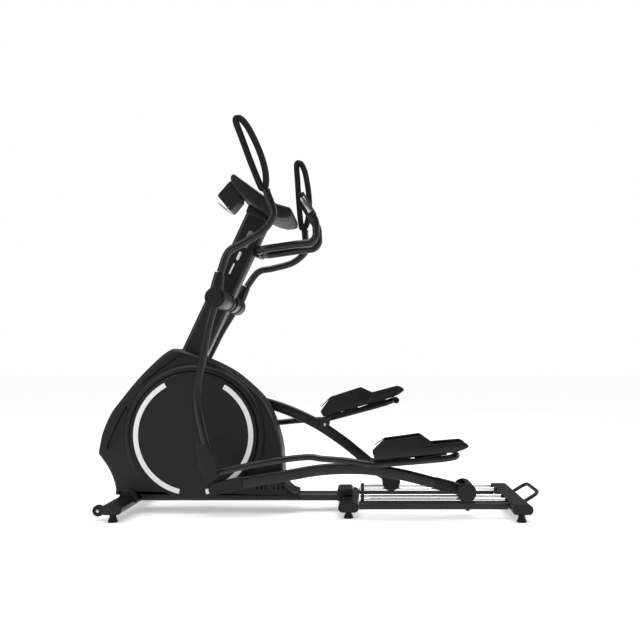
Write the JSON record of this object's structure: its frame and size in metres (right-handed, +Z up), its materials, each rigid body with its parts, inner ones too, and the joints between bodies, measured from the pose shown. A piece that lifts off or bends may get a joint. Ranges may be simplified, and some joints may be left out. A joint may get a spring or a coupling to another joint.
{
  "type": "elliptical trainer",
  "caption": "Elliptical trainer: low frame on cross bars, round drive casing with crank discs, leaning mast with console, swinging loop handles and pedals on arms that roll on chrome rods.",
  "frame": {"origin": "on the floor under the middle of the overall box", "axes": "+X towards the rear, where the rider steps on; -Y is the rider's left; +Z up"},
  "size_m": [1.91, 0.6, 1.6731],
  "materials": {
    "black_paint": "satin black powder coat",
    "chrome_plate": "polished chrome plate",
    "moulded_black": "fine moulded texture, satin black",
    "disc_plastic": "satin black moulding with a printed light ring",
    "footplate_plastic": "moulded black with a ribbed tread",
    "grip_foam": "closed-cell foam",
    "grip_rubber": "soft matt rubber",
    "foot_rubber": "matt rubber",
    "roller_polymer": "hard polyurethane",
    "machined_steel": "turned and zinc plated",
    "cast_iron": "turned casting",
    "pulley_plastic": "glass-filled nylon",
    "belt_rubber": "ribbed drive belt",
    "console_glass": "clear window over a dark display"
  },
  "bodies": {
    "frame": {"front_bar": "black_paint", "mid_bar": "black_paint", "rear_bar": "black_paint", "main_frame": "black_paint", "mast": "black_paint", "handle_axle": "black_paint", "bar_clamp": "black_paint", "fixed_bar": "black_paint", "transport_handle": "black_paint", "casing_left": "moulded_black", "casing_right": "moulded_black", "console_shell": "moulded_black", "console_neck": "moulded_black", "console_screen": "console_glass", "drive_belt": "belt_rubber", "fixed_grip_left": "grip_rubber", "fixed_grip_right": "grip_rubber", "side_beam_left": "black_paint", "side_beam_right": "black_paint", "guide_rod_inner_left": "chrome_plate", "guide_rod_outer_left": "chrome_plate", "guide_rod_inner_right": "chrome_plate", "guide_rod_outer_right": "chrome_plate"},
    "crank": {"crank_axle": "machined_steel", "crank_pulley": "pulley_plastic", "crank_arm_left": "machined_steel", "crank_arm_right": "machined_steel", "crank_disc_left": "disc_plastic", "crank_disc_right": "disc_plastic"},
    "flywheel": {"flywheel": "cast_iron"},
    "brake": {"brake_bracket": "machined_steel"},
    "carriage_left": {"roller_housing_left": "moulded_black"},
    "wheels_left": {"roller_wheels_left": "roller_polymer"},
    "arm_left": {"pedal_arm_left": "black_paint"},
    "pedal_left": {"pedal_left": "footplate_plastic", "link_tube_left": "black_paint"},
    "swing_left": {"swing_arm_left": "black_paint", "upper_handle_left": "black_paint", "handle_grip_left": "grip_foam", "joint_cover_left": "moulded_black"},
    "transport_wheel_left": {"transport_wheel_left": "foot_rubber"},
    "carriage_right": {"roller_housing_right": "moulded_black"},
    "wheels_right": {"roller_wheels_right": "roller_polymer"},
    "arm_right": {"pedal_arm_right": "black_paint"},
    "pedal_right": {"pedal_right": "footplate_plastic", "link_tube_right": "black_paint"},
    "swing_right": {"swing_arm_right": "black_paint", "upper_handle_right": "black_paint", "handle_grip_right": "grip_foam", "joint_cover_right": "moulded_black"},
    "transport_wheel_right": {"transport_wheel_right": "foot_rubber"},
    "key_left": {"console_key_left": "grip_rubber"},
    "key_right": {"console_key_right": "grip_rubber"},
    "foot_front_left": {"foot_front_left": "foot_rubber"},
    "foot_front_right": {"foot_front_right": "foot_rubber"},
    "foot_rear_left": {"foot_rear_left": "foot_rubber"},
    "foot_rear_right": {"foot_rear_right": "foot_rubber"},
    "foot_mid_left": {"foot_mid_left": "foot_rubber"},
    "foot_mid_right": {"foot_mid_right": "foot_rubber"}
  },
  "joints": [
    {"name": "crank_spin", "type": "hinge", "parent": "frame", "child": "crank", "pos_m": [-0.535, 0, 0.339], "axis": [0, 1, 0], "continuous": true},
    {"name": "flywheel_spin", "type": "hinge", "parent": "frame", "child": "flywheel", "pos_m": [-0.8, 0, 0.33], "axis": [0, 1, 0], "continuous": true},
    {"name": "brake_swing", "type": "hinge", "parent": "frame", "child": "brake", "pos_m": [-0.80976, 0, 0.44157], "axis": [0, 1, 0], "range_deg": [0, 4], "stiffness_Nm_per_rad": 8},
    {"name": "left_stride", "type": "slide", "parent": "frame", "child": "carriage_left", "axis": [1, 0, 0], "range_m": [-0.38, 0.076]},
    {"name": "left_roll", "type": "hinge", "parent": "carriage_left", "child": "wheels_left", "pos_m": [0.62762, 0, 0.111], "axis": [0, 1, 0], "continuous": true},
    {"name": "left_lift", "type": "hinge", "parent": "carriage_left", "child": "arm_left", "pos_m": [0.62762, 0, 0.111], "axis": [0, 1, 0], "range_deg": [-0.8, 25.8]},
    {"name": "left_pedal", "type": "hinge", "parent": "arm_left", "child": "pedal_left", "pos_m": [0.244, 0, 0.21444], "axis": [0, 1, 0], "range_deg": [-37, 1.3]},
    {"name": "left_swing", "type": "hinge", "parent": "frame", "child": "swing_left", "pos_m": [-0.409, 0, 0.919], "axis": [0, 1, 0], "range_deg": [-6, 27.5]},
    {"name": "transport_spin_left", "type": "hinge", "parent": "frame", "child": "transport_wheel_left", "pos_m": [-0.9, 0, 0.04], "axis": [0, 1, 0], "continuous": true},
    {"name": "right_stride", "type": "slide", "parent": "frame", "child": "carriage_right", "axis": [1, 0, 0], "range_m": [-0.076, 0.38]},
    {"name": "right_roll", "type": "hinge", "parent": "carriage_right", "child": "wheels_right", "pos_m": [0.32327, 0, 0.111], "axis": [0, 1, 0], "continuous": true},
    {"name": "right_lift", "type": "hinge", "parent": "carriage_right", "child": "arm_right", "pos_m": [0.32327, 0, 0.111], "axis": [0, 1, 0], "range_deg": [-25.8, 0.8]},
    {"name": "right_pedal", "type": "hinge", "parent": "arm_right", "child": "pedal_right", "pos_m": [0.01932, 0, 0.36688], "axis": [0, 1, 0], "range_deg": [-1.3, 39.5]},
    {"name": "right_swing", "type": "hinge", "parent": "frame", "child": "swing_right", "pos_m": [-0.409, 0, 0.919], "axis": [0, 1, 0], "range_deg": [-27.5, 6]},
    {"name": "transport_spin_right", "type": "hinge", "parent": "frame", "child": "transport_wheel_right", "pos_m": [-0.9, 0, 0.04], "axis": [0, 1, 0], "continuous": true},
    {"name": "left_key_press", "type": "slide", "parent": "frame", "child": "key_left", "axis": [-0.5853, 0, -0.8108], "range_m": [0, 0.0012], "stiffness_N_per_m": 300},
    {"name": "right_key_press", "type": "slide", "parent": "frame", "child": "key_right", "axis": [-0.5853, 0, -0.8108], "range_m": [0, 0.0012], "stiffness_N_per_m": 300},
    {"name": "foot_front_left_turn", "type": "hinge", "parent": "frame", "child": "foot_front_left", "pos_m": [-0.829, -0.27, 0], "axis": [0, 0, 1], "continuous": true},
    {"name": "foot_front_right_turn", "type": "hinge", "parent": "frame", "child": "foot_front_right", "pos_m": [-0.829, 0.27, 0], "axis": [0, 0, 1], "continuous": true},
    {"name": "foot_rear_left_turn", "type": "hinge", "parent": "frame", "child": "foot_rear_left", "pos_m": [0.846, -0.27, 0], "axis": [0, 0, 1], "continuous": true},
    {"name": "foot_rear_right_turn", "type": "hinge", "parent": "frame", "child": "foot_rear_right", "pos_m": [0.846, 0.27, 0], "axis": [0, 0, 1], "continuous": true},
    {"name": "foot_mid_left_turn", "type": "hinge", "parent": "frame", "child": "foot_mid_left", "pos_m": [0.135, -0.185, 0], "axis": [0, 0, 1], "continuous": true},
    {"name": "foot_mid_right_turn", "type": "hinge", "parent": "frame", "child": "foot_mid_right", "pos_m": [0.135, 0.185, 0], "axis": [0, 0, 1], "continuous": true}
  ],
  "couplings": [
    {"joint": "flywheel_spin", "follows": "crank_spin", "ratio": 7.5},
    {"joint": "right_stride", "follows": "left_stride", "ratio": -1},
    {"joint": "left_swing", "follows": "left_stride", "rad_per_m": -1.22},
    {"joint": "right_swing", "follows": "left_stride", "rad_per_m": 1.22},
    {"joint": "left_roll", "follows": "left_stride", "rad_per_m": 38.462},
    {"joint": "right_roll", "follows": "left_stride", "rad_per_m": -38.462},
    {"joint": "right_lift", "follows": "left_lift", "ratio": -1},
    {"joint": "left_pedal", "follows": "left_lift", "ratio": -1.4},
    {"joint": "right_pedal", "follows": "left_lift", "ratio": 1.5}
  ]
}
